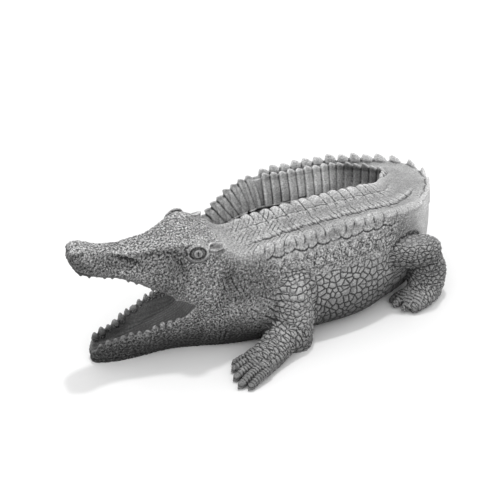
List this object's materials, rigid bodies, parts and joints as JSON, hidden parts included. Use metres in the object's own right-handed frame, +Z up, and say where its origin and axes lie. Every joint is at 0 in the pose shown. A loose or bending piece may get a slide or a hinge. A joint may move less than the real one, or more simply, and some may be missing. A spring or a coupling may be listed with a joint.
{
  "type": "crocodile sculpture",
  "caption": "Cast garden crocodile lying with raised open jaws, splayed legs and its ridged tail curled forward along its side, flat underneath.",
  "frame": {"origin": "on the plane that the figure rests on, under the middle of its belly", "axes": "+X from the head towards the bend of the tail, +Y to the animal's right, +Z up"},
  "size_m": [0.634, 0.3692, 0.2135],
  "materials": {
    "cast_stone": "matt weathered grey, darker in the recesses"
  },
  "bodies": {
    "root": {"crocodile": "cast_stone"}
  },
  "joints": []
}
